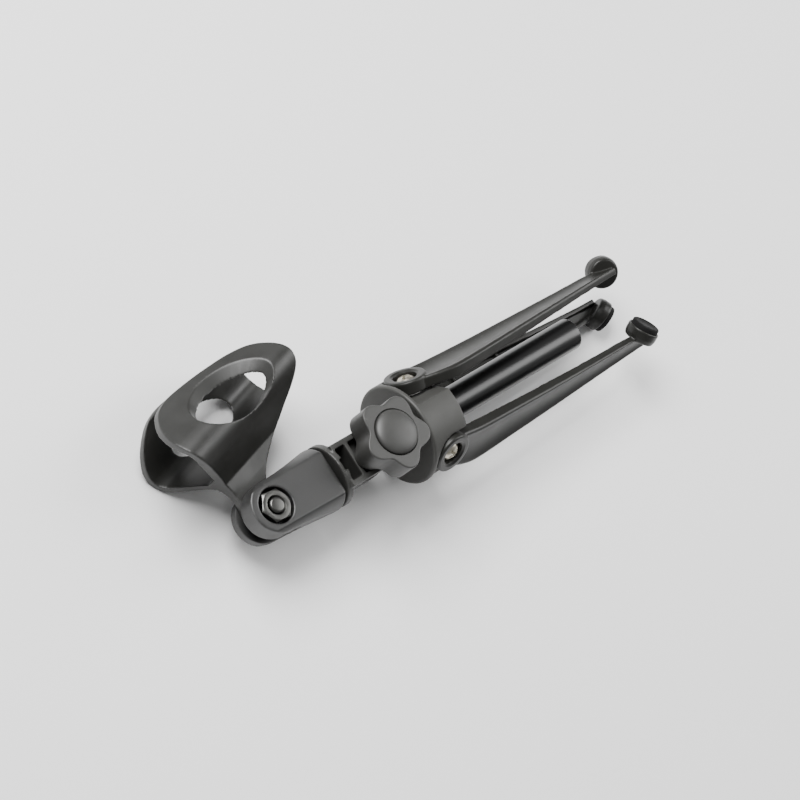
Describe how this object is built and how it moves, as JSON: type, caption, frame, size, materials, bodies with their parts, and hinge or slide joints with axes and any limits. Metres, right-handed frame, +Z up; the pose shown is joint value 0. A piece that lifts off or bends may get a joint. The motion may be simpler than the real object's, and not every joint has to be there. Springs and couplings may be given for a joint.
{
  "type": "desktop microphone stand",
  "caption": "Folding desktop microphone stand: round hub with fold-out legs, sliding tube, tilting arm with a lobed clamp knob, threaded adapter and open mic clip.",
  "frame": {"origin": "centre of the folded stand's box, on the surface that it lies on", "axes": "+X runs along the tube from the clip to the feet, +Z is up and is the side that the clamp knob faces, +Y is the side that the folded clip leans to"},
  "size_m": [0.225, 0.0788, 0.0453],
  "materials": {
    "charcoal_moulding": "matt charcoal moulding with a fine grain",
    "leg_moulding": "semi-gloss near-black moulding",
    "clip_moulding": "satin charcoal moulding, slightly flexible",
    "adapter_moulding": "satin dark grey moulding",
    "gloss_tube": "gloss black paint on steel tube",
    "nickel_plate": "warm nickel plate",
    "dark_steel": "dark oxide steel",
    "turned_brass": "turned brass",
    "black_rubber": "matt black rubber",
    "nylon": "natural nylon"
  },
  "bodies": {
    "base": {"hub": "charcoal_moulding", "leg_screw_a": "nickel_plate", "leg_screw_b": "nickel_plate", "leg_screw_c": "nickel_plate", "leg_washer_a": "nylon", "leg_washer_b": "nylon", "leg_washer_c": "nylon"},
    "leg_a_body": {"leg_a": "leg_moulding", "foot_pad_a": "black_rubber"},
    "leg_b_body": {"leg_b": "leg_moulding", "foot_pad_b": "black_rubber"},
    "leg_c_body": {"leg_c": "leg_moulding", "foot_pad_c": "black_rubber"},
    "mast": {"height_tube": "gloss_tube", "tube_cap": "clip_moulding", "tilt_lug": "clip_moulding"},
    "arm": {"tilt_arm": "charcoal_moulding", "clamp_bolt": "dark_steel", "thread_stud": "dark_steel", "thread_insert": "turned_brass", "clip_adapter": "adapter_moulding", "clip_bolt": "dark_steel", "clip_nut": "dark_steel"},
    "knob": {"clamp_knob": "charcoal_moulding", "knob_cap": "charcoal_moulding"},
    "clip": {"mic_clip": "clip_moulding"}
  },
  "joints": [
    {"name": "leg_a_fold", "type": "hinge", "parent": "base", "child": "leg_a_body", "pos_m": [-0.01153, -0.00276, 0.02852], "axis": [0, -0.866, -0.5], "range_deg": [0, 66]},
    {"name": "leg_b_fold", "type": "hinge", "parent": "base", "child": "leg_b_body", "pos_m": [-0.01153, -0.03048, 0.02852], "axis": [0, 0.866, -0.5], "range_deg": [-5, 60.8]},
    {"name": "leg_c_fold", "type": "hinge", "parent": "base", "child": "leg_c_body", "pos_m": [-0.01153, -0.01662, 0.00452], "axis": [0, 0, 1], "range_deg": [-3.6, 62.4]},
    {"name": "tube_height", "type": "slide", "parent": "base", "child": "mast", "axis": [-1, 0, 0], "range_m": [0, 0.07]},
    {"name": "arm_tilt", "type": "hinge", "parent": "mast", "child": "arm", "pos_m": [-0.03713, -0.01662, 0.02052], "axis": [0, 0, 1], "range_deg": [-45, 90]},
    {"name": "knob_turn", "type": "hinge", "parent": "arm", "child": "knob", "pos_m": [-0.03713, -0.01662, 0.03652], "axis": [0, 0, 1], "range_deg": [0, 360]},
    {"name": "clip_tilt", "type": "hinge", "parent": "arm", "child": "clip", "pos_m": [-0.08813, -0.01662, 0.01807], "axis": [0, 0, 1], "range_deg": [0, 110]}
  ]
}
